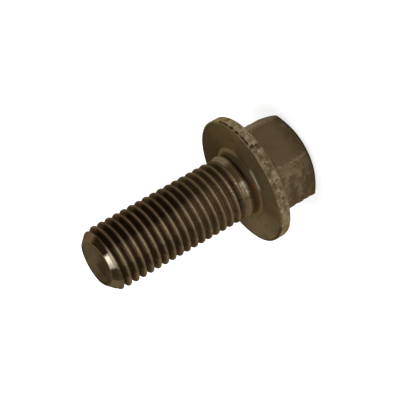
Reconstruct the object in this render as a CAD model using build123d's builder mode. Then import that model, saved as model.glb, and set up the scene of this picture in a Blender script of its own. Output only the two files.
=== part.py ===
from build123d import *
import math
import os

os.makedirs("parts", exist_ok=True)

# Hexagon flange bolt, M10 x 1.25 x 25, forged and thread-rolled in one piece.
# Millimetres. The origin is the centre of the bearing face, where the flange
# seats. The shank points along +Z and the head lies below the origin.

# Thread, ISO metric fine, right hand, at its real rolled size.
thread_major = 9.85
thread_pitch = 1.25
crest_width = 0.2
root_width = 0.46
flank_angle = 60.0

# Shank.
shank_length = 25.0
point_dia = 7.8
point_angle = 38.0

# Plain neck under the head, and the relief between it and the bearing face.
neck_dia = 10.0
neck_length = 2.3
runout_angle = 45.0
runout_depth = 0.1
runin_dia = 9.6
runin_length = 0.6
shoulder_height = 1.3
relief_dia = 9.2
relief_height = 0.75
relief_edge_dia = 11.1

# Flange.
flange_dia = 19.7
rim_height = 1.7
flange_slope = 20.0
rim_front_break = 0.2
rim_back_break = 0.3

# Hexagon head.
across_flats = 12.8
head_height = 9.1
crown_dia = 11.8
crown_slope = 30.0

# Sizes that follow from those above.
major_r = thread_major / 2
neck_r = neck_dia / 2
flange_r = flange_dia / 2
flank_run = math.tan(math.radians(flank_angle / 2))
groove_width = thread_pitch - crest_width
thread_depth = (groove_width - root_width) / 2 / flank_run
root_r = major_r - thread_depth
point_r = point_dia / 2
point_length = (major_r - point_r) / math.tan(math.radians(point_angle))
corner_r = across_flats / math.sqrt(3)
flange_rise = math.tan(math.radians(flange_slope))
crown_rise = math.tan(math.radians(crown_slope))
hub_z = -rim_height - (flange_r - across_flats / 2) * flange_rise
runout_r = root_r - runout_depth
runout_run = (neck_r - runout_r) / math.tan(math.radians(runout_angle))
runout_z = neck_length + runout_run
runin_r = runin_dia / 2
runin_z = neck_length + runin_length
shoulder_r = neck_r - 0.3 * (neck_dia - relief_dia) / 2
shoulder_z = (shoulder_height + relief_height) / 2
flare_r = relief_dia / 2 + 0.16 * (relief_edge_dia - relief_dia) / 2
flare_z = 0.42 * relief_height
clear = 0.05
clear_width = groove_width + 2 * clear * flank_run
groove_start = neck_length - 0.92 * thread_pitch
turns = math.ceil((shank_length - groove_start) / thread_pitch) + 1

# One turn of the thread groove, a little proud of the crests so that it cuts
# cleanly. It is the cutting tool for the thread below.
with BuildPart() as groove_turn:
    with BuildLine() as groove_path:
        Helix(
            pitch=thread_pitch,
            height=thread_pitch,
            radius=major_r,
            center=(0, 0, groove_start),
        )
    with BuildSketch(Plane.XZ):
        with BuildLine():
            Polyline(
                (major_r + clear, groove_start - clear_width / 2),
                (root_r, groove_start - root_width / 2),
                (root_r, groove_start + root_width / 2),
                (major_r + clear, groove_start + clear_width / 2),
                close=True,
            )
        make_face()
    sweep(path=groove_path.line, is_frenet=True)

with BuildPart() as flange_bolt:
    # Hexagon, from the top of the head into the flange.
    with BuildSketch(Plane.XY.offset(-head_height)):
        RegularPolygon(across_flats / 2, 6, major_radius=False)
    extrude(amount=head_height - rim_height / 2)

    # Crown: the cone that rounds off the hexagon's corners at the top.
    with BuildSketch(Plane.XZ):
        with BuildLine():
            crown_z = -head_height + (corner_r + 1 - crown_dia / 2) * crown_rise
            Polyline(
                (0, 0),
                (0, -head_height),
                (crown_dia / 2, -head_height),
                (corner_r + 1, crown_z),
                (corner_r + 1, 0),
                close=True,
            )
        make_face()
    revolve(axis=Axis.Z, mode=Mode.INTERSECT)

    # Flange: a straight rim with a conical back that runs up into the hexagon.
    with BuildSketch(Plane.XZ):
        with BuildLine():
            Polyline(
                (0, 0),
                (flange_r, 0),
                (flange_r, -rim_height),
                (across_flats / 2, hub_z),
                (0, hub_z),
                close=True,
            )
        make_face()
        rim_corners = vertices().group_by(Axis.X)[-1].sort_by(Axis.Y)
        chamfer(rim_corners[-1], rim_front_break)
        rim_corners = vertices().group_by(Axis.X)[-1].sort_by(Axis.Y)
        chamfer(rim_corners[0], rim_back_break)
    revolve(axis=Axis.Z)

    # Shank blank with its point. It starts inside the neck, and is a little
    # thinner there, so the thread's first crests are lower than the others.
    with BuildSketch(Plane.XZ):
        with BuildLine():
            Polyline(
                (0, shoulder_height),
                (runin_r, shoulder_height),
                (runin_r, runin_z),
                (major_r, runin_z + major_r - runin_r),
                (major_r, shank_length - point_length),
                (point_r, shank_length),
                (0, shank_length),
                close=True,
            )
        make_face()
    revolve(axis=Axis.Z)

    # Thread groove: one turn of it, cut again at each pitch from inside the
    # neck to past the point. Each turn ends where the next one starts.
    with Locations(*[(0, 0, turn * thread_pitch) for turn in range(turns)]):
        add(groove_turn.part, mode=Mode.SUBTRACT)

    # Neck: a plain collar that the thread runs out on, with a rounded-off
    # shoulder and a relief between it and the bearing face.
    with BuildSketch(Plane.XZ):
        with BuildLine():
            Polyline(
                (relief_edge_dia / 2, 0),
                (relief_edge_dia / 2, -rim_height / 2),
                (0, -rim_height / 2),
                (0, runout_z),
                (runout_r, runout_z),
                (neck_r, neck_length),
                (neck_r, shoulder_height),
                (shoulder_r, shoulder_z),
                (relief_dia / 2, relief_height),
                (flare_r, flare_z),
                close=True,
            )
        make_face()
    revolve(axis=Axis.Z)

flange_bolt.part.label = "flange_bolt"
export_step(flange_bolt.part, "parts/flange_bolt.step")
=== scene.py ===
import math
import random

import bmesh
import bpy
from mathutils import Matrix, Vector, noise


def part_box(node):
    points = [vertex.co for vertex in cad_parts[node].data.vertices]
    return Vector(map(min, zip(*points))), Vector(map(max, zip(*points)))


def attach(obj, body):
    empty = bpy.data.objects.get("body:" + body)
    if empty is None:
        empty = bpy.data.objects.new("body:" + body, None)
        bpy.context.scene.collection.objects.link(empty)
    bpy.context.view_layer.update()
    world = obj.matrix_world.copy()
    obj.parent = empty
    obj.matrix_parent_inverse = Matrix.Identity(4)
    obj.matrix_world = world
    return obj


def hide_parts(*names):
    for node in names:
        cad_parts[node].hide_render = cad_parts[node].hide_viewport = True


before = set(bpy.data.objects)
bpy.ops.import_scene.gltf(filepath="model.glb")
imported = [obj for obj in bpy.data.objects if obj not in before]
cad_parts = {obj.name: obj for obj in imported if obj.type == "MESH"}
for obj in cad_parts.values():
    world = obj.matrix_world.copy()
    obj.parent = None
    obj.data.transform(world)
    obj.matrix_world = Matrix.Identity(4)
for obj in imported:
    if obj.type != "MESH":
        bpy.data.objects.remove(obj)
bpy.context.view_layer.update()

bl_info = {
    "name": "Flange bolt",
    "version": (1, 0, 0),
    "blender": (4, 5, 0),
    "location": "View3D > Sidebar > Flange bolt",
    "description": "Builds a worn hexagon flange bolt and the stage it stands on",
    "category": "Add Mesh",
}

NODE = "flange_bolt"
BODY = "root"
MM = 0.001
NODE_LOW, NODE_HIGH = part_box(NODE)


def millimetres(name, description, value, least=0.0):
    """A length property, shown as a distance and kept in metres."""
    return bpy.props.FloatProperty(
        name=name,
        description=description,
        default=value * MM,
        min=least,
        precision=5,
        subtype="DISTANCE",
        unit="LENGTH",
    )


def angle(name, description, degrees):
    """An angle property, kept in radians."""
    return bpy.props.FloatProperty(
        name=name,
        description=description,
        default=math.radians(degrees),
        subtype="ANGLE",
        unit="ROTATION",
    )


def colour(name, description, value):
    """A colour property."""
    return bpy.props.FloatVectorProperty(
        name=name,
        description=description,
        default=value,
        size=3,
        min=0.0,
        max=1.0,
        subtype="COLOR",
    )


class ThreadSizes(bpy.types.PropertyGroup):
    """Sizes of the threaded shank."""

    pitch: millimetres("Pitch", "Distance from one crest to the next", 1.25)
    major: millimetres("Major radius", "Radius over the crests", 4.925)
    depth: millimetres("Depth", "How deep the groove is below the crests", 0.74)
    crest: millimetres("Crest width", "Width of the flat on a crest", 0.17)
    flank: angle("Flank angle", "Angle between the two sides of the groove", 60)
    rounding: millimetres("Rounding", "How far crests and roots are rounded", 0.09)
    groove: millimetres("Groove height", "Height of a groove's middle on the +X side", 2.0)
    bottom: millimetres("Bottom", "Where the shank starts, inside the neck", 0.8)
    runin: millimetres("Run-in radius", "Radius of the first, lower crests", 4.8)
    runin_end: millimetres("Run-in height", "Where the crests reach full size", 2.9)
    runout: millimetres("Run-out height", "Where the groove starts to fade at the point", 23.35)
    point: millimetres("Point radius", "Radius of the cone at the tip", 3.6)
    point_slope: angle("Point slope", "Slope of the cone at the end", 45)
    point_low: millimetres("Low side", "How much deeper the cone is cut on its low side", 0.35)
    point_low_side: angle("Low side's angle", "The side that the cone is cut deepest on", -140)
    point_far: millimetres("Far side", "How much wider the cone is left on its far side", 0.25)
    point_far_side: angle("Far side's angle", "The side that the cone is left widest on", 128)
    point_round: millimetres("Point rounding", "Rounding between the cone and the last crest", 0.7)
    end_drop: millimetres("End drop", "How far the middle of the end is below the tip", 0.15)
    end_tilt: angle("End tilt", "How far the sheared end leans", 5.5)
    end_side: angle("End side", "The side that the sheared end is lowest on", -72)
    nicks: millimetres("Nicks", "How uneven the crests have become", 0.03)
    around: bpy.props.IntProperty(
        name="Columns", description="Faces around the shank", default=120, min=24
    )
    rows: bpy.props.IntProperty(
        name="Rows", description="Faces along the shank", default=520, min=60
    )


class FlangeSizes(bpy.types.PropertyGroup):
    """Sizes of the flange, the neck and the relief between them."""

    radius: bpy.props.FloatProperty(
        name="Radius",
        description="Outer radius of the flange",
        default=NODE_HIGH.x,
        subtype="DISTANCE",
        unit="LENGTH",
    )
    rim: millimetres("Rim height", "Height of the flange's straight rim", 1.7)
    front_break: millimetres("Front rounding", "Rounding of the rim's front edge", 0.22)
    back_break: millimetres("Back rounding", "Rounding of the rim's back edge", 0.3)
    slope: angle("Back slope", "Slope of the flange's back", 20)
    neck: millimetres("Neck radius", "Radius of the plain neck", 5.0)
    neck_top: millimetres("Neck length", "Where the neck ends and the thread starts", 2.3)
    shoulder: millimetres("Shoulder height", "Where the neck starts to round off", 1.3)
    relief: millimetres("Relief radius", "Smallest radius of the relief", 4.6)
    relief_height: millimetres("Relief height", "Height of that smallest radius", 0.75)
    relief_edge: millimetres("Relief edge", "Radius of the relief at the bearing face", 5.55)
    dent_depth: millimetres("Dent depth", "How deep the dents in the rim are", 0.075)


class HexagonSizes(bpy.types.PropertyGroup):
    """Sizes of the hexagon head."""

    flats: millimetres("Across flats", "Width of the hexagon", 12.8)
    top: bpy.props.FloatProperty(
        name="Top",
        description="Height of the head's flat top",
        default=NODE_LOW.z,
        subtype="DISTANCE",
        unit="LENGTH",
    )
    crown: millimetres("Crown radius", "Radius of the head's flat top", 5.9)
    crown_slope: angle("Crown slope", "Slope of the crown", 30)
    corner: millimetres("Corner rounding", "Rounding of the hexagon's corners", 0.32)
    edge: millimetres("Edge rounding", "Rounding of the crown's edges", 0.2)


class SteelColours(bpy.types.PropertyGroup):
    """Colours of the rubbed steel. Some also stand for painted light and painted shade."""

    oxide: colour("Oxide", "The sound dark coat", (0.078, 0.053, 0.025))
    # Oil colour: also laid on as painted shade in grooves, corners and on sides away from the
    # lamp.
    oil_and_painted_shade: colour("Oil", "Oil and dirt in grooves and corners", (0.014, 0.008, 0.003))
    # Worn colour: also laid on as painted light on lit sides, lit edges and reflections.
    worn_and_painted_light: colour("Worn", "Coat rubbed thin along edges", (0.19, 0.145, 0.083))
    # Bare colour: also laid on as painted highlights where the lamp would be reflected.
    bare_and_painted_highlight: colour("Bare", "Steel rubbed bright", (0.44, 0.39, 0.31))
    rust: colour("Rust", "Rust in the relief", (0.20, 0.075, 0.02))


# Nodes as Python expressions


class Value:
    """A node's output that can be used in sums."""

    def __init__(self, tree, socket):
        self.tree = tree
        self.socket = socket

    def maths(self, operation, *others, clamp=False):
        settings = {"operation": operation, "use_clamp": clamp}
        return self.tree.node("ShaderNodeMath", settings, dict(enumerate((self, *others))))[0]

    def __add__(self, other):
        return self.maths("ADD", other)

    __radd__ = __add__

    def __mul__(self, other):
        return self.maths("MULTIPLY", other)

    __rmul__ = __mul__

    def __sub__(self, other):
        return self.maths("SUBTRACT", other)

    def __rsub__(self, other):
        return (self * -1) + other

    def __truediv__(self, other):
        return self.maths("DIVIDE", other)

    def least(self, other, soft=0):
        return self.maths("SMOOTH_MIN", other, soft) if soft else self.maths("MINIMUM", other)

    def most(self, other, soft=0):
        return self.maths("SMOOTH_MAX", other, soft) if soft else self.maths("MAXIMUM", other)

    def step(self, low, high):
        """0 below low, 1 above high, and smooth in between. high may be the lower."""
        settings = {"interpolation_type": "SMOOTHSTEP"}
        sockets = {"Value": self, "From Min": low, "From Max": high}
        return self.tree.node("ShaderNodeMapRange", settings, sockets)["Result"]

    def band(self, centre, half, soft):
        """1 within half of centre, and smooth outside it."""
        return (self - centre).maths("ABSOLUTE").step(half + soft, half)


class Outputs:
    """A node's outputs, by name or number."""

    def __init__(self, tree, node):
        self.tree = tree
        self.node = node

    def __getitem__(self, key):
        return Value(self.tree, self.node.outputs[key])


class Tree:
    """A node tree, and the one method that adds nodes to it."""

    def __init__(self, nodes):
        self.nodes = nodes

    def node(self, kind, settings=None, sockets=None):
        made = self.nodes.nodes.new(kind)
        for name, value in (settings or {}).items():
            setattr(made, name, value)
        for name, value in (sockets or {}).items():
            self.feed(made.inputs[name], value)
        return Outputs(self, made)

    def feed(self, socket, value):
        if isinstance(value, Value):
            self.nodes.links.new(value.socket, socket)
        elif socket.type == "RGBA" and len(value) == 3:
            socket.default_value = (*value, 1.0)
        else:
            socket.default_value = value

    def mix(self, share, first, second):
        """first where share is 0, second where it is 1. Both are colours."""
        sockets = {0: share, 6: first, 7: second}
        return self.node("ShaderNodeMix", {"data_type": "RGBA"}, sockets)[2]

    def noise(self, place, scale, detail=4.0, rough=0.55, warp=0.0):
        sockets = {
            "Vector": place,
            "Scale": scale,
            "Detail": detail,
            "Roughness": rough,
            "Distortion": warp,
        }
        return self.node("ShaderNodeTexNoise", {}, sockets)["Fac"]


class Place:
    """Where a point of the bolt is, as sockets in millimetres."""

    def __init__(self, tree):
        metres = tree.node("ShaderNodeTexCoord")["Object"]
        scaled = tree.node(
            "ShaderNodeVectorMath", {"operation": "SCALE"}, {0: metres, "Scale": 1 / MM}
        )
        self.vector = scaled[0]
        split = tree.node("ShaderNodeSeparateXYZ", {}, {0: self.vector})
        self.x, self.y, self.z = split[0], split[1], split[2]
        self.radius = (self.x * self.x + self.y * self.y).maths("SQRT")

    def towards(self, degrees):
        """Cosine of the angle between a point's side of the bolt and that angle."""
        side = math.radians(degrees)
        return (self.x * math.cos(side) + self.y * math.sin(side)) / self.radius

    def facing(self, degrees, reach):
        """1 on the side of the bolt at that angle, falling to 0 at reach degrees from it."""
        return self.towards(degrees).step(math.cos(math.radians(reach)), 1.0)

    def patch(self, degrees, reach, noise_now, ragged, low, high):
        """The same, with an edge that a noise makes ragged."""
        return (self.facing(degrees, reach) + (noise_now - 0.5) * ragged).step(low, high)


def new_material(name):
    """An empty node material, and its tree."""
    material = bpy.data.materials.new(name)
    material.use_nodes = True
    material.node_tree.nodes.clear()
    return material, Tree(material.node_tree)


def finish_steel(tree, place, shade, worn_and_painted_light, bare_and_painted_highlight, oil_and_painted_shade, rust, rough, bump, metal):
    """The steel's shader: a dark coat, with wear and painted light, painted highlights, rust,
    and grime and painted shade laid over it in turn.

    shade is the coat's colour. The next four say how much of each shows, from 0 to 1: wear
    and painted light, rubbed-bright steel and painted highlights, grime and painted shade, and
    rust. bump is the height of the surface's grain in millimetres.
    """
    steel = bpy.context.scene.bolt_steel
    broad = tree.noise(place.vector, 0.35, 3.0, 0.5)
    fine = tree.noise(place.vector, 3.2, 5.0, 0.6)
    grain = tree.noise(place.vector, 11.0, 3.0, 0.6)
    uneven = broad.step(0.3, 0.72) * 0.5 + fine.step(0.35, 0.7) * 0.22
    coat = tree.mix(uneven, steel.oxide, shade)
    colour_now = tree.mix(worn_and_painted_light, coat, steel.worn_and_painted_light)
    colour_now = tree.mix(bare_and_painted_highlight, colour_now, steel.bare_and_painted_highlight)
    colour_now = tree.mix(rust, colour_now, steel.rust)
    colour_now = tree.mix(oil_and_painted_shade, colour_now, steel.oil_and_painted_shade)
    roughness = rough + fine.step(0.3, 0.75) * 0.14 - bare_and_painted_highlight * 0.08 + rust * 0.25 + oil_and_painted_shade * 0.12
    height = fine * 0.5 + grain * 0.5
    surface = tree.node(
        "ShaderNodeBump", {}, {"Strength": 1.0, "Distance": bump * MM, "Height": height}
    )["Normal"]
    shader = tree.node(
        "ShaderNodeBsdfPrincipled",
        {},
        {
            "Base Color": colour_now,
            "Metallic": metal + bare_and_painted_highlight * (1 - metal) - rust * 0.6 - oil_and_painted_shade * 0.3,
            "Roughness": roughness.maths("MAXIMUM", 0.12, clamp=True),
            "Normal": surface,
            "Specular IOR Level": 0.0,
            "Specular Tint": (0.6, 0.52, 0.4),
        },
    )["BSDF"]
    tree.node("ShaderNodeOutputMaterial", {}, {"Surface": shader})


def thread_steel():
    """Rolled steel: rubbed crests, grime and painted shade in the grooves, and a point with
    painted highlights and painted shade.
    """
    material, tree = new_material("thread_steel")
    place = Place(tree)
    size = bpy.context.scene.bolt_thread
    tip = NODE_HIGH.z / MM
    mottle = tree.noise(place.vector, 1.1, 4.0, 0.6)
    patches = tree.noise(place.vector, 0.5, 2.0, 0.5)
    specks = tree.noise(place.vector, 2.6, 3.0, 0.6)

    # Parts of the shank. depth is how far a point is below the crests, and gap how far it
    # is inside the cone.
    depth = size.major / MM - place.radius
    low = place.towards(math.degrees(size.point_low_side)).most(0.0) * (size.point_low / MM)
    far = place.towards(math.degrees(size.point_far_side)).most(0.0) * (size.point_far / MM)
    gap = tip + size.point / MM - place.z - low + far - place.radius
    on_point = gap.step(0.1, 0.04)
    on_end = place.z.step(tip - 0.8, tip - 0.6) * (1 - on_point)
    on_thread = (1 - on_point) * (1 - on_end)
    near_tip = place.z.step(5.0, 16.0)
    crests = depth.step(0.32, 0.05) * on_thread
    lip = on_end * gap.step(0.4, 0.15)
    far_lip = on_end * gap.step(0.9, 0.3)

    # Painted shade: the upper side, a dark band at -91 degrees and the far side are darkened, and
    # show less wear.
    painted_upper_shade = (place.facing(0, 62) + near_tip * 0.42 - 0.12).step(0.45, 1.05)
    painted_upper_shade = painted_upper_shade * (0.8 + near_tip * 0.2)
    painted_upper_shade = painted_upper_shade * (1 - place.facing(42, 38).step(0.0, 0.7) * 0.55)
    painted_shade_band = place.facing(-91, 16).step(0.0, 0.6) * (0.35 + near_tip * 0.65)
    painted_side_shade = painted_upper_shade.most(painted_shade_band * 0.75).most(place.facing(180, 80) * 0.6)

    # Crests that stand out: the last one, rubbed and with a painted highlight, the first ones by
    # the neck, with painted highlights, and those on the upper side, painted lighter.
    last = depth.step(0.16, 0.05) * place.z.step(tip - 2.0, tip - 1.7) * (1 - painted_side_shade * 0.5)
    first = crests * place.z.step(4.4, 3.2) * place.facing(-58, 20)
    upper = crests * place.facing(40, 26).step(0.1, 0.7)

    # Painted reflections on the point: its top and its lower side are lightened.
    tan = place.facing(8, 24).step(0.0, 0.5) * (0.1 + mottle.step(0.35, 0.6) * 0.25)
    tan = tan + place.facing(-115, 24).step(0.0, 0.3) * 0.3
    worn_and_painted_light = crests * (0.4 + mottle.step(0.35, 0.65) * 0.45) * (1 - painted_side_shade * 0.7)
    worn_and_painted_light = worn_and_painted_light.most(on_point * tan)
    # Painted light: the thread lightened towards the head, and the lip of the end lightened on the
    # side at -32 degrees.
    worn_and_painted_light = worn_and_painted_light.most(on_thread * (1 - near_tip) * (1 - painted_side_shade) * 0.17)
    worn_and_painted_light = worn_and_painted_light.most(lip * place.facing(-32, 50) * (0.2 + mottle.step(0.3, 0.6) * 0.3))
    worn_and_painted_light = worn_and_painted_light.most(upper * (0.3 + mottle.step(0.35, 0.65) * 0.3))
    worn_and_painted_light = worn_and_painted_light.most(last * 0.8)

    # Painted highlights, in the rubbed-bright colour, where the lamp's reflection falls: on the
    # point at -60 degrees, along the crests on that side, most near the tip, and on the first and
    # last crests.
    painted_highlight = place.patch(-60.5, 22, specks, 0.9, 0.3, 0.9)
    bare_and_painted_highlight = crests * (0.35 + specks.step(0.42, 0.7) * 0.5)
    bare_and_painted_highlight = bare_and_painted_highlight * place.facing(-60, 40) * (0.1 + near_tip * 0.11)
    bare_and_painted_highlight = bare_and_painted_highlight.most(crests * place.z.step(tip - 2.5, tip - 1.8) * place.facing(-52, 22) * 0.85)
    bare_and_painted_highlight = bare_and_painted_highlight.most(on_point * painted_highlight * depth.step(0.05, 0.25) * 0.7)
    bare_and_painted_highlight = bare_and_painted_highlight.most(last * place.facing(-65, 14) * 0.7)
    bare_and_painted_highlight = bare_and_painted_highlight.most(first * specks.step(0.46, 0.6) * 0.8)

    # Painted shade: dark patches on the point at -27 and -86 degrees.
    shade = place.patch(-27, 36, specks, 0.9, 0.3, 0.95) * 0.95
    shade = shade.most(place.patch(-86, 28, specks, 0.9, 0.3, 0.9) * 0.75)
    # Blotches on the end face, with painted shade towards its lower side.
    blots = 0.12 + patches.step(0.4, 0.6) * 0.1 + mottle.step(0.4, 0.65) * 0.15
    blots = blots + place.facing(-110, 110) * 0.45
    # Grime and painted shade in the grooves, stronger towards the tip; painted shade on the shaded
    # sides, in the point's dark patches, over the end and along its far edge.
    oil_and_painted_shade = depth.step(0.4, 0.76) * on_thread * (0.12 + near_tip * 0.64)
    oil_and_painted_shade = oil_and_painted_shade.most(painted_side_shade * on_thread * (0.35 + depth.step(0.0, 0.35) * 0.6))
    oil_and_painted_shade = oil_and_painted_shade * (1 - upper * 0.7)
    oil_and_painted_shade = oil_and_painted_shade.most(on_point * shade * (1 - painted_highlight)) * (1 - last)
    oil_and_painted_shade = oil_and_painted_shade.most(on_end * blots * (1 - lip * 0.7))
    oil_and_painted_shade = oil_and_painted_shade.most(far_lip * place.facing(140, 95).step(0.0, 0.4) * 0.92)

    rust = specks.step(0.6, 0.72) * depth.step(0.3, 0.5) * on_thread * 0.2
    rust = rust.most(on_thread * (1 - near_tip) * (1 - painted_side_shade) * 0.08)
    # A warm tint over the painted light on the top of the point.
    rust = rust.most(on_point * place.facing(12, 26).step(0.0, 0.4) * 0.14)

    coat = tree.mix(on_thread, (0.115, 0.085, 0.052), (0.27, 0.165, 0.085))
    rough = 0.24 + on_point * 0.1
    finish_steel(tree, place, coat, worn_and_painted_light, bare_and_painted_highlight, oil_and_painted_shade, rust, rough, 0.004, 0.25)
    return material


def flange_steel():
    """Forged steel: a smooth dark face, a rubbed rim and rust in the relief, with painted
    highlights, painted reflections and painted shade on the face, the neck and the relief.
    """
    material, tree = new_material("flange_steel")
    place = Place(tree)
    size = bpy.context.scene.bolt_flange
    radius, back = size.radius / MM, -size.rim / MM
    mottle = tree.noise(place.vector, 1.3, 5.0, 0.62)
    blots = tree.noise(place.vector, 0.8, 3.0, 0.6)
    specks = tree.noise(place.vector, 3.4, 4.0, 0.6)
    clouds = tree.noise(place.vector, 0.3, 3.0, 0.55)

    # Parts of the piece. flare is the wall of the relief, and ring its rounded mouth.
    on_rim = place.radius.step(radius - 0.32, radius - 0.12)
    proud = place.radius.step(radius - 0.085, radius - 0.015)
    on_face = place.z.step(-0.02, 0.0) * place.radius.step(5.6, 5.8) * (1 - on_rim)
    on_neck = place.z.step(1.0, 1.25)
    neck_end = place.z.step(size.neck_top / MM - 0.1, size.neck_top / MM + 0.05)
    flare = place.z.step(-0.06, 0.02) * place.radius.step(5.75, 5.55) * (1 - on_neck)
    ring = flare * place.z.step(0.35, 0.12)
    around_ring = place.radius.step(5.3, 5.45) * place.radius.step(6.05, 5.75)
    around_ring = around_ring * place.z.step(0.5, 0.3) * (1 - on_neck)
    outer = place.radius.step(radius - 0.5, radius - 0.2) * place.z.step(-0.35, -0.1)
    in_dents = place.radius.step(radius - 0.03, radius - 0.07) * on_rim
    in_dents = in_dents * place.z.step(-0.04, -0.14) * place.z.step(back, back + 0.35)

    rubbed = blots.step(0.42, 0.58) * 0.5 + mottle.step(0.45, 0.58) * 0.3
    worn_and_painted_light = on_rim * (0.12 + proud * 0.2 + rubbed)
    # Painted light: the face is lighter towards -115 and -158 degrees.
    worn_and_painted_light = worn_and_painted_light.most(on_face * place.facing(-115, 80) * (0.1 + mottle.step(0.4, 0.7) * 0.08))
    worn_and_painted_light = worn_and_painted_light.most(on_face * place.facing(-158, 50) * 0.4)
    worn_and_painted_light = worn_and_painted_light.most(on_face * (clouds.step(0.48, 0.66) * 0.1 + mottle.step(0.45, 0.7) * 0.04))
    # Painted reflections on the neck: lighter at the top and at -108 and -66 degrees.
    neck_painted_reflections = place.facing(26, 50).step(0.0, 0.8) * 1.3
    neck_painted_reflections = neck_painted_reflections.most(place.facing(-108, 30).step(0.0, 0.6) * 0.6)
    neck_painted_reflections = neck_painted_reflections.most(place.facing(-66, 18).step(0.0, 0.5) * 0.7)
    worn_and_painted_light = worn_and_painted_light.most(on_neck * neck_painted_reflections)
    # The relief's mouth is rubbed, with painted light at the top and painted shade at -30 degrees.
    ring_wear_and_painted_light = (0.25 + place.facing(25, 50) * 0.2) * (1 - place.facing(-30, 28))
    worn_and_painted_light = worn_and_painted_light.most(ring * ring_wear_and_painted_light)

    bare_and_painted_highlight = on_rim * proud * specks.step(0.48, 0.66) * blots.step(0.4, 0.6) * 0.5
    # Painted highlights: spots on the neck at -64 degrees, and a glint round the relief's mouth at
    # -60 degrees.
    painted_neck_highlight = place.patch(-64, 16, mottle, 0.6, 0.05, 0.9) * (0.15 + specks.step(0.4, 0.6) * 0.4)
    bare_and_painted_highlight = bare_and_painted_highlight.most(on_neck * (1 - neck_end) * painted_neck_highlight)
    bare_and_painted_highlight = bare_and_painted_highlight.most(around_ring * place.patch(-60, 22, mottle, 0.4, 0.0, 0.9) * 0.8)

    # Dents darkened at random, and as painted shade on the side at 0 degrees.
    dirt_and_painted_shade = 0.12 + specks.step(0.5, 0.62) * 0.35
    dirt_and_painted_shade = dirt_and_painted_shade.most(place.facing(0, 45).step(0.35, 0.6) * 0.85)
    oil_and_painted_shade = in_dents * dirt_and_painted_shade
    # Painted shade: the relief's wall, patches on its mouth at -28 degrees and on the neck at -26
    # degrees, the far side of the face, the far outer edge, and the end of the neck, where the
    # lamp's reflection is painted over. The face also darkens in random clouds.
    oil_and_painted_shade = oil_and_painted_shade.most(flare * (1 - ring) * 0.45).most(ring * place.facing(-28, 24) * 0.4)
    oil_and_painted_shade = oil_and_painted_shade.most(on_neck * place.facing(-26, 24).step(0.1, 0.6) * 0.3)
    oil_and_painted_shade = oil_and_painted_shade.most(on_face * place.facing(95, 100) * 0.5)
    oil_and_painted_shade = oil_and_painted_shade.most(on_face * clouds.step(0.52, 0.36) * 0.26)
    oil_and_painted_shade = oil_and_painted_shade.most(outer * place.facing(160, 105).step(0.0, 0.2) * 0.75)
    oil_and_painted_shade = oil_and_painted_shade.most(neck_end * (1 - place.facing(28, 50).step(0.0, 0.8)) * 0.5)

    rust = place.facing(-84, 26).step(0.05, 0.5) * mottle.step(0.42, 0.62) * 0.6
    rust = rust * place.z.step(0.05, 0.3) * (1 - place.z.step(2.0, 2.4))

    rough = 0.36 + on_face * 0.14 + on_neck * 0.08 + ring * 0.08
    metal = 0.8 - on_face * 0.3
    finish_steel(tree, place, (0.096, 0.067, 0.031), worn_and_painted_light, bare_and_painted_highlight, oil_and_painted_shade, rust, rough, 0.006, metal)
    return material


def hexagon_steel():
    """Forged steel: smooth flats, rubbed corners and edges, one mottled flat, and painted shade at
    the foot, along the crown and on the low side.
    """
    material, tree = new_material("hexagon_steel")
    place = Place(tree)
    size = bpy.context.scene.bolt_hexagon
    corner = size.flats / 2 / MM / math.cos(math.radians(30))
    mottle = tree.noise(place.vector, 0.9, 6.0, 0.68, 0.4)
    specks = tree.noise(place.vector, 2.6, 4.0, 0.62)
    wobble = (tree.noise(place.vector, 0.8, 3.0, 0.6) - 0.5) * 0.6
    wave = (tree.noise(place.vector, 0.7, 3.0, 0.6) - 0.5) * 1.8

    # Parts of the head. across is the distance from the plane through the front corner.
    front = math.radians(-60)
    across = place.x * math.sin(front) - place.y * math.cos(front)
    line = (across + wave).band(0.0, 0.08, 0.14) * place.facing(-60, 16).step(0.0, 0.2)
    corners = (place.radius + wobble).step(corner - 0.26, corner - 0.1)
    crown_height = (place.radius - size.crown / MM) * math.tan(size.crown_slope)
    crown = (place.z - size.top / MM - crown_height).step(0.3, 0.05)
    foot = place.z.step(-3.4, -2.6)
    far_end = place.z.step(-6.0, -8.8)
    low = place.facing(-108, 24).step(0.0, 0.6)

    spotted = place.facing(-90, 38) * (mottle + place.facing(-64, 12) * 0.08).step(0.46, 0.6)
    worn_and_painted_light = corners * (0.2 + specks.step(0.35, 0.65) * 0.15)
    worn_and_painted_light = worn_and_painted_light.most(spotted * 0.62).most(line * 0.6) * (1 - crown)
    bare_and_painted_highlight = corners * specks.step(0.55, 0.7) * 0.2 * (1 - crown)
    # Painted shade where the head meets the flange, along the crown's edge and on the low side;
    # the far end darkens in blotches, and the mottled flat has dark spots.
    oil_and_painted_shade = (foot * 0.4).most(crown * 0.75).most(far_end * mottle.step(0.3, 0.6) * 0.45)
    oil_and_painted_shade = oil_and_painted_shade.most(low * 0.35 * (0.4 + far_end * 0.6))
    oil_and_painted_shade = oil_and_painted_shade.most(place.facing(-90, 38) * mottle.step(0.44, 0.36) * 0.35)
    rust = (specks.step(0.68, 0.76) * 0.12).most(low * far_end * mottle.step(0.4, 0.6) * 0.3)
    finish_steel(tree, place, (0.105, 0.077, 0.042), worn_and_painted_light, bare_and_painted_highlight, oil_and_painted_shade, rust, 0.34, 0.008, 0.8)
    return material


# Mesh helpers


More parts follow.
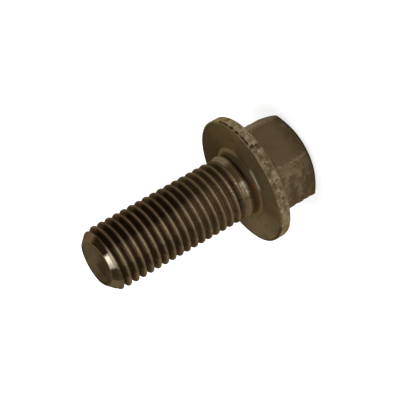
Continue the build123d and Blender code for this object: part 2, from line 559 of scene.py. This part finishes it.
def rounded(corners, steps=6):
    """A path through (radius, height, rounding) corners, each rounded to its own radius."""
    path = []
    last = len(corners) - 1
    for index, (r, z, rounding) in enumerate(corners):
        here = Vector((r, z))
        if rounding <= 0 or index in (0, last):
            path.append(here)
            continue
        before = (Vector(corners[index - 1][:2]) - here).normalized()
        after = (Vector(corners[index + 1][:2]) - here).normalized()
        half = before.angle(after) / 2
        reach = rounding / math.tan(half)
        start, end = here + before * reach, here + after * reach
        for step in range(steps + 1):
            t = step / steps
            path.append(start * (1 - t) ** 2 + here * 2 * t * (1 - t) + end * t**2)
    return path


def divided(path, longest):
    """The same path with its long runs divided, so that no step is over longest."""
    points = [path[0]]
    for end in path[1:]:
        start = points[-1]
        count = max(1, math.ceil((end - start).length / longest))
        points.extend(start.lerp(end, step / count) for step in range(1, count + 1))
    return points


def skin(name, columns, rows):
    """A closed mesh from rings of points. Each row is a ring, and its first and last are poles."""
    mesh = bpy.data.meshes.new(name)
    form = bmesh.new()
    rings = [[form.verts.new(point) for point in row] for row in rows[1:-1]]
    start, end = form.verts.new(rows[0][0]), form.verts.new(rows[-1][0])
    for lower, upper in zip(rings, rings[1:]):
        for here in range(columns):
            there = (here + 1) % columns
            form.faces.new((lower[here], lower[there], upper[there], upper[here]))
    for here in range(columns):
        there = (here + 1) % columns
        form.faces.new((start, rings[0][there], rings[0][here]))
        form.faces.new((end, rings[-1][here], rings[-1][there]))
    bmesh.ops.recalc_face_normals(form, faces=form.faces)
    for face in form.faces:
        face.smooth = True
    form.to_mesh(mesh)
    form.free()
    piece = bpy.data.objects.new(name, mesh)
    bpy.context.scene.collection.objects.link(piece)
    return piece


def settle(piece):
    """Gives a finished piece its place on the bolt."""
    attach(piece, BODY)
    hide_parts(NODE)


# Threaded shank


THREAD_INPUTS = (
    "pitch", "major", "depth", "crest", "flank", "rounding", "groove", "bottom", "top",
    "runin", "runin_end", "nicks", "runout", "point", "point_slope", "point_low",
    "point_low_side", "point_far", "point_far_side", "point_round", "end_drop", "end_tilt",
    "end_side",
)
CAP = 1.0 * MM  # the grid runs on this far past both ends, where its rings close
FADE = 0.7 * MM  # the length that the groove fades out over
MERGE = 0.002 * MM  # points nearer than this become one


def thread_nodes():
    """The tree that makes the threaded shank from its sizes, with the height along the
    shank and the turn around it as the two directions of a grid."""
    group = bpy.data.node_groups.new("threaded_shank", "GeometryNodeTree")
    for name in THREAD_INPUTS:
        group.interface.new_socket(name, in_out="INPUT", socket_type="NodeSocketFloat")
    for name in ("around", "rows"):
        group.interface.new_socket(name, in_out="INPUT", socket_type="NodeSocketInt")
    group.interface.new_socket("material", in_out="INPUT", socket_type="NodeSocketMaterial")
    group.interface.new_socket("shank", in_out="OUTPUT", socket_type="NodeSocketGeometry")
    tree = Tree(group)
    size = tree.node("NodeGroupInput")

    grid = tree.node(
        "GeometryNodeMeshGrid",
        {},
        {
            "Size X": 1.0,
            "Size Y": 1.0,
            "Vertices X": size["around"] + 1,
            "Vertices Y": size["rows"] + 1,
        },
    )["Mesh"]
    place = tree.node("GeometryNodeInputPosition")[0]
    split = tree.node("ShaderNodeSeparateXYZ", {}, {0: place})
    turn = split[0] + 0.5
    height = size["bottom"] - CAP + (split[1] + 0.5) * (size["top"] - size["bottom"] + 2 * CAP)

    # Distance from the nearest crest, along the shank.
    phase = ((height - size["groove"]) / size["pitch"] - turn).maths("FRACT")
    away = (phase - 0.5).maths("ABSOLUTE") * size["pitch"]
    slope = (size["flank"] / 2).maths("TANGENT")
    full = size["runin"] + (height - size["runin_end"]).most(0.0)
    crest = size["major"].least(full)
    flank = size["major"] + (size["crest"] / 2 - away) / slope
    soft = size["rounding"]
    fade = height.step(size["runout"] + FADE, size["runout"])
    ridge = flank.least(crest, soft).most(size["major"] - size["depth"] * fade, soft)

    # Small nicks along the crests.
    turned = turn * (2 * math.pi)
    around = tree.node(
        "ShaderNodeCombineXYZ",
        {},
        {
            0: turned.maths("COSINE") * size["major"],
            1: turned.maths("SINE") * size["major"],
            2: height,
        },
    )[0]
    dents = tree.noise(around, 1300.0, 3.0, 0.6).step(0.52, 0.78)
    ridge = ridge - dents * size["nicks"] * ridge.step(size["major"] - 0.2 * MM, size["major"])

    # The point's cone, its flat end, and the hidden end inside the neck.
    low = (turned - size["point_low_side"]).maths("COSINE").most(0.0) * size["point_low"]
    far = (turned - size["point_far_side"]).maths("COSINE").most(0.0) * size["point_far"]
    rise = (size["top"] - height) * size["point_slope"].maths("TANGENT")
    cone = size["point"] - low + far + rise
    end = (size["top"] + CAP - height) * ((size["point"] + size["point_far"]) / CAP)
    foot = (height - size["bottom"] + CAP) * (size["major"] / CAP)
    radius = ridge.least(cone, size["point_round"]).least(end, 0.1 * MM).least(foot).most(0.0)
    lean = (turned - size["end_side"]).maths("COSINE") * size["end_tilt"].maths("TANGENT")
    face = (size["top"] - size["end_drop"] - radius * lean).least(size["top"])
    level = height.least(face, 0.04 * MM).most(size["bottom"]).least(size["top"])
    spot = tree.node(
        "ShaderNodeCombineXYZ",
        {},
        {0: turned.maths("COSINE") * radius, 1: turned.maths("SINE") * radius, 2: level},
    )[0]
    moved = tree.node("GeometryNodeSetPosition", {}, {"Geometry": grid, "Position": spot})
    merged = tree.node(
        "GeometryNodeMergeByDistance", {}, {"Geometry": moved[0], "Distance": MERGE}
    )
    smooth = tree.node("GeometryNodeSetShadeSmooth", {}, {"Geometry": merged[0]})
    real = tree.node("GeometryNodeRealizeInstances", {}, {"Geometry": smooth[0]})
    painted = tree.node(
        "GeometryNodeSetMaterial", {}, {"Geometry": real[0], "Material": size["material"]}
    )
    tree.node("NodeGroupOutput", {}, {"shank": painted[0]})
    return group


class MESH_OT_add_bolt_shank(bpy.types.Operator):
    """Adds the threaded shank, with its point and the thread's run-in."""

    bl_idname = "mesh.add_bolt_shank"
    bl_label = "Threaded shank"

    def execute(self, context):
        size = context.scene.bolt_thread
        group = thread_nodes()
        carrier = bpy.data.objects.new("shank_nodes", bpy.data.meshes.new("shank_nodes"))
        context.scene.collection.objects.link(carrier)
        modifier = carrier.modifiers.new("Thread", "NODES")
        modifier.node_group = group
        values = {name: getattr(size, name) for name in THREAD_INPUTS if name != "top"}
        values["top"] = NODE_HIGH.z
        values["around"] = size.around
        values["rows"] = size.rows
        values["material"] = thread_steel()
        for item in group.interface.items_tree:
            if item.in_out == "INPUT":
                modifier[item.identifier] = values[item.name]
        evaluated = carrier.evaluated_get(context.evaluated_depsgraph_get())
        mesh = bpy.data.meshes.new_from_object(evaluated)
        mesh.name = "threaded_shank"
        piece = bpy.data.objects.new("threaded_shank", mesh)
        context.scene.collection.objects.link(piece)
        bpy.data.objects.remove(carrier)
        settle(piece)
        return {"FINISHED"}


# Flange and neck


FRONT_DENTS = (13.0, 5.0, -3.5, -12.0, -20.0, -26.5)  # degrees
DENTS_START, DENTS_END = -31.0, -94.0  # degrees
FINE_TURNS = (-100.0, 12.0)  # the dented side, which needs smaller faces
FINE_STEP, COARSE_STEP = 0.4, 2.0  # degrees


def rim_dents(size):
    """Plain dents round the rim: (angle in degrees, height, half width, half height)."""
    chance = random.Random(11)
    dents = []
    for turn in FRONT_DENTS:
        wide = chance.uniform(0.3, 0.85) * MM
        dents.append((turn, -chance.uniform(0.2, 0.3) * MM, wide, 0.14 * MM))
    turn = DENTS_START
    while turn > DENTS_END:
        height = -size.rim * chance.uniform(0.2, 0.72)
        wide, high = chance.uniform(0.17, 0.38) * MM, chance.uniform(0.18, 0.42) * MM
        dents.append((turn, height, wide, high))
        turn -= chance.uniform(1.8, 3.6)
    return dents


def dent_depth(turn, height, radius, dents):
    """How deep the dents are at a point of the rim, from 0 to 1."""
    spot = Vector((math.radians(turn) * radius, height, 0.0)) / MM
    rough = noise.noise(spot * 3.1) * 0.45
    deepest = 0.0
    for dent_turn, dent_height, wide, high in dents:
        across = math.radians(turn - dent_turn) * radius / wide
        up = (height - dent_height) / high
        if abs(across) < 2 and abs(up) < 2:
            away = math.hypot(across, up) + rough
            deepest = max(deepest, min(1.0, max(0.0, 1.5 - away)))
    return deepest * deepest * (3 - 2 * deepest)


class MESH_OT_add_bolt_flange(bpy.types.Operator):
    """Adds the flange with its dented rim, the relief and the plain neck."""

    bl_idname = "mesh.add_bolt_flange"
    bl_label = "Flange and neck"

    def execute(self, context):
        size = context.scene.bolt_flange
        hexagon = context.scene.bolt_hexagon
        root = context.scene.bolt_thread.major - context.scene.bolt_thread.depth - 0.1 * MM
        runout = size.neck_top + size.neck - root
        flat = hexagon.flats / 2
        hub = -size.rim - (size.radius - flat) * math.tan(size.slope)
        hidden = 0.8 * MM
        inner_hub = hub - hidden * math.tan(size.slope)
        corners = [
            (0, runout, 0),
            (root, runout, 0),
            (size.neck - 0.2 * MM, size.neck_top, 0.15 * MM),
            (size.neck - 0.14 * MM, size.neck_top - 0.5 * MM, 0.2 * MM),
            (size.neck, size.shoulder + 0.34 * MM, 0.12 * MM),
            (size.neck, size.shoulder, 0.2 * MM),
            (size.relief, size.relief_height + 0.1 * MM, 0.2 * MM),
            (size.relief + 0.12 * MM, 0.5 * size.relief_height, 0.4 * MM),
            (size.relief_edge, 0, 0.3 * MM),
            (size.radius, 0, size.front_break),
            (size.radius, -size.rim, size.back_break),
            (flat - hidden, inner_hub, 0),
            (0, inner_hub, 0),
        ]
        path = rounded(corners)
        on_rim = [i for i, point in enumerate(path) if point.x > size.radius - 0.001 * MM]
        rim_first, rim_last = on_rim[0], on_rim[-1]
        rim = divided(path[rim_first : rim_last + 1], 0.065 * MM)
        profile = divided(path[: rim_first + 1], 0.45 * MM)[:-1] + rim
        profile += divided(path[rim_last:], 0.6 * MM)[1:]
        turns = []
        turn = -180.0
        while turn < 179.5:
            turns.append(turn)
            turn += FINE_STEP if FINE_TURNS[0] <= turn <= FINE_TURNS[1] else COARSE_STEP
        dents = rim_dents(size)
        rows = []
        for point in profile:
            ring = []
            for turn in turns:
                radius, height = point.x, point.y
                if radius > size.radius - 0.45 * MM and height < 0.001 * MM:
                    spot = Vector((turn * 0.17, height / MM * 0.9, 3.7))
                    wear = noise.fractal(spot * 1.4, 0.6, 2.1, 4)
                    radius -= (0.02 + 0.035 * wear) * MM
                    radius -= size.dent_depth * dent_depth(turn, height, size.radius, dents)
                    radius = min(radius, size.radius)
                side = math.radians(turn)
                ring.append((radius * math.cos(side), radius * math.sin(side), height))
            rows.append(ring)
        piece = skin("flange_and_neck", len(turns), rows)
        piece.data.materials.append(flange_steel())
        settle(piece)
        return {"FINISHED"}


# Hexagon head


def hexagon_radius(turn, flat, rounding):
    """Radius of a hexagon with rounded corners, at an angle in degrees from a corner."""
    from_flat = abs((turn % 60.0) - 30.0)
    corner = flat / math.cos(math.radians(30.0))
    inner = corner - rounding / math.cos(math.radians(30.0))
    straight = flat / math.cos(math.radians(from_flat))
    side = math.radians(30.0 - from_flat)
    reach = rounding**2 - (inner * math.sin(side)) ** 2
    if reach <= 0:
        return straight
    round_radius = inner * math.cos(side) + math.sqrt(reach)
    return min(straight, round_radius)


# Degrees from one corner to the next, closest together at the corners.
HALF_TURNS = (0, 0.5, 1, 1.5, 2, 2.5, 3, 3.6, 4.4, 5.5, 7, 9, 12, 16, 20, 25, 30)
OTHER_HALF = tuple(60 - step for step in reversed(HALF_TURNS[1:-1]))


class MESH_OT_add_bolt_hexagon(bpy.types.Operator):
    """Adds the hexagon head, with its rubbed corners and rounded crown."""

    bl_idname = "mesh.add_bolt_hexagon"
    bl_label = "Hexagon head"

    def execute(self, context):
        size = context.scene.bolt_hexagon
        flat = size.flats / 2
        rise = math.tan(size.crown_slope)
        turns = [side * 60.0 + step for side in range(6) for step in HALF_TURNS + OTHER_HALF]
        columns = []
        for turn in turns:
            corner = round(turn / 60.0)
            radius = hexagon_radius(turn, flat, size.corner)
            crown = size.top + (radius - size.crown) * rise
            corners = [
                (0, size.top, 0),
                (size.crown, size.top, size.edge * 1.5),
                (radius, crown, size.edge),
                (radius, -1.0 * MM, 0),
                (0, -1.0 * MM, 0),
            ]
            path = rounded(corners, 6)
            first, last = path[0], path[-1]
            top = [first.lerp(path[1], step / 8) for step in range(1, 8)]
            side = [path[-3].lerp(path[-2], step / 48) for step in range(1, 48)]
            foot = [path[-2].lerp(last, step / 4) for step in range(1, 4)]
            points = [first, *top, *path[1:-2], *side, path[-2], *foot, last]
            near = abs(turn - 60.0 * corner)
            ring = []
            for point in points:
                r, z = point.x, point.y
                if r > flat * 0.98 and near < 6 and z < -2.0 * MM:
                    spot = Vector((corner * 7.3, 0.0, z / MM * 1.1))
                    dent = max(0.0, noise.fractal(spot, 0.7, 2.0, 3) + 0.12)
                    r -= 0.22 * MM * dent * (1 - near / 6) ** 2
                angle_now = math.radians(turn)
                ring.append((r * math.cos(angle_now), r * math.sin(angle_now), z))
            columns.append(ring)
        rows = [list(row) for row in zip(*columns)]
        piece = skin("hexagon_head", len(turns), rows)
        piece.data.materials.append(hexagon_steel())
        settle(piece)
        return {"FINISHED"}


# Stage


PAPER = (0.6, 0.6, 0.6)
PAPER_GLOW = 0.74  # brightness of the floor to the camera and in reflections
ROOM_LIGHT, ROOM_GLOW = 0.6, 0.4  # the room's light, and what it gains in the same way
LAMP_AIM = Vector((0, 0, 8)) * MM
LAMP_SIDE, LAMP_RISE, LAMP_DISTANCE = -60, 75, 0.5  # degrees, degrees and metres
LAMP_WIDTH, LAMP_POWER = 0.26, 1.2  # metres and watts
CAMERA_AIM = Vector((0.506, 0.398, 6.802)) * MM
CAMERA_SIDE, CAMERA_RISE, CAMERA_ROLL = -51.83, 19.83, 119.64  # degrees
CAMERA_DISTANCE, CAMERA_LENS = 194.7 * MM, 121.75


def direction(azimuth, elevation):
    """The unit vector in a direction given in degrees."""
    a, e = math.radians(azimuth), math.radians(elevation)
    return Vector((math.cos(a) * math.cos(e), math.sin(a) * math.cos(e), math.sin(e)))


def seen_light(tree):
    """1 for what the camera sees, directly or in a reflection, and 0 for other light."""
    path = tree.node("ShaderNodeLightPath")
    return path["Is Camera Ray"].most(path["Is Glossy Ray"]).most(path["Is Transmission Ray"])


class SCENE_OT_add_bolt_stage(bpy.types.Operator):
    """Adds the floor, the soft lamp, the white surroundings and the camera."""

    bl_idname = "scene.add_bolt_stage"
    bl_label = "Stage"

    def execute(self, context):
        scene = context.scene
        self.add_floor(scene)
        self.add_world(scene)
        self.add_lamp(scene)
        self.add_camera(scene)
        scene.view_settings.view_transform = "Standard"
        return {"FINISHED"}

    def add_floor(self, scene):
        mesh = bpy.data.meshes.new("floor")
        half = 1.2
        flat = ((-half, -half), (half, -half), (half, half), (-half, half))
        corners = [(x, y, NODE_LOW.z) for x, y in flat]
        mesh.from_pydata(corners, [], [(0, 1, 2, 3)])
        floor = bpy.data.objects.new("floor", mesh)
        scene.collection.objects.link(floor)
        material, tree = new_material("floor_paper")
        paper = tree.node("ShaderNodeBsdfDiffuse", {}, {"Color": PAPER})[0]
        sockets = {"Color": (1.0, 1.0, 1.0), "Strength": seen_light(tree) * PAPER_GLOW}
        glow = tree.node("ShaderNodeEmission", {}, sockets)[0]
        both = tree.node("ShaderNodeAddShader", {}, {0: paper, 1: glow})[0]
        tree.node("ShaderNodeOutputMaterial", {}, {"Surface": both})
        mesh.materials.append(material)

    def add_world(self, scene):
        world = bpy.data.worlds.new("white_room")
        world.use_nodes = True
        world.node_tree.nodes.clear()
        tree = Tree(world.node_tree)
        strength = ROOM_LIGHT + seen_light(tree) * ROOM_GLOW
        sockets = {"Color": (1.0, 1.0, 1.0), "Strength": strength}
        light = tree.node("ShaderNodeBackground", {}, sockets)[0]
        tree.node("ShaderNodeOutputWorld", {}, {"Surface": light})
        scene.world = world

    def add_lamp(self, scene):
        data = bpy.data.lights.new("overhead", "AREA")
        data.shape = "RECTANGLE"
        data.size = data.size_y = LAMP_WIDTH
        data.energy = LAMP_POWER
        lamp = bpy.data.objects.new("overhead", data)
        back = direction(LAMP_SIDE, LAMP_RISE)
        lamp.location = LAMP_AIM + back * LAMP_DISTANCE
        lamp.rotation_mode = "QUATERNION"
        lamp.rotation_quaternion = (-back).to_track_quat("-Z", "Y")
        scene.collection.objects.link(lamp)

    def add_camera(self, scene):
        data = bpy.data.cameras.new("camera")
        data.sensor_width = 36.0
        data.lens = CAMERA_LENS
        data.clip_start, data.clip_end = 0.01, 10.0
        camera = bpy.data.objects.new("camera", data)
        back = direction(CAMERA_SIDE, CAMERA_RISE)
        camera.location = CAMERA_AIM + back * CAMERA_DISTANCE
        level = (-back).to_track_quat("-Z", "Y").to_matrix()
        roll = Matrix.Rotation(math.radians(-CAMERA_ROLL), 3, "Z")
        camera.rotation_euler = (level @ roll).to_euler()
        scene.collection.objects.link(camera)
        scene.camera = camera


class VIEW3D_PT_flange_bolt(bpy.types.Panel):
    """Lists the bolt's pieces, sizes and colours."""

    bl_label = "Flange bolt"
    bl_space_type = "VIEW_3D"
    bl_region_type = "UI"
    bl_category = "Flange bolt"

    def draw(self, context):
        for title, name, group, operator in PARTS:
            box = self.layout.box()
            box.label(text=title)
            settings = getattr(context.scene, name)
            for key in group.__annotations__:
                box.prop(settings, key)
            if operator:
                box.operator(operator)
        self.layout.operator("scene.add_bolt_stage")


PARTS = (
    ("Thread", "bolt_thread", ThreadSizes, "mesh.add_bolt_shank"),
    ("Flange", "bolt_flange", FlangeSizes, "mesh.add_bolt_flange"),
    ("Hexagon", "bolt_hexagon", HexagonSizes, "mesh.add_bolt_hexagon"),
    ("Steel", "bolt_steel", SteelColours, None),
)
CLASSES = (
    ThreadSizes,
    FlangeSizes,
    HexagonSizes,
    SteelColours,
    MESH_OT_add_bolt_shank,
    MESH_OT_add_bolt_flange,
    MESH_OT_add_bolt_hexagon,
    SCENE_OT_add_bolt_stage,
    VIEW3D_PT_flange_bolt,
)


def register():
    for made in CLASSES:
        bpy.utils.register_class(made)
    for _, name, group, _ in PARTS:
        setattr(bpy.types.Scene, name, bpy.props.PointerProperty(type=group))


def unregister():
    for _, name, _, _ in PARTS:
        delattr(bpy.types.Scene, name)
    for made in reversed(CLASSES):
        bpy.utils.unregister_class(made)


def main():
    register()
    bpy.ops.mesh.add_bolt_shank()
    bpy.ops.mesh.add_bolt_flange()
    bpy.ops.mesh.add_bolt_hexagon()
    bpy.ops.scene.add_bolt_stage()


if __name__ == "__main__":
    main()
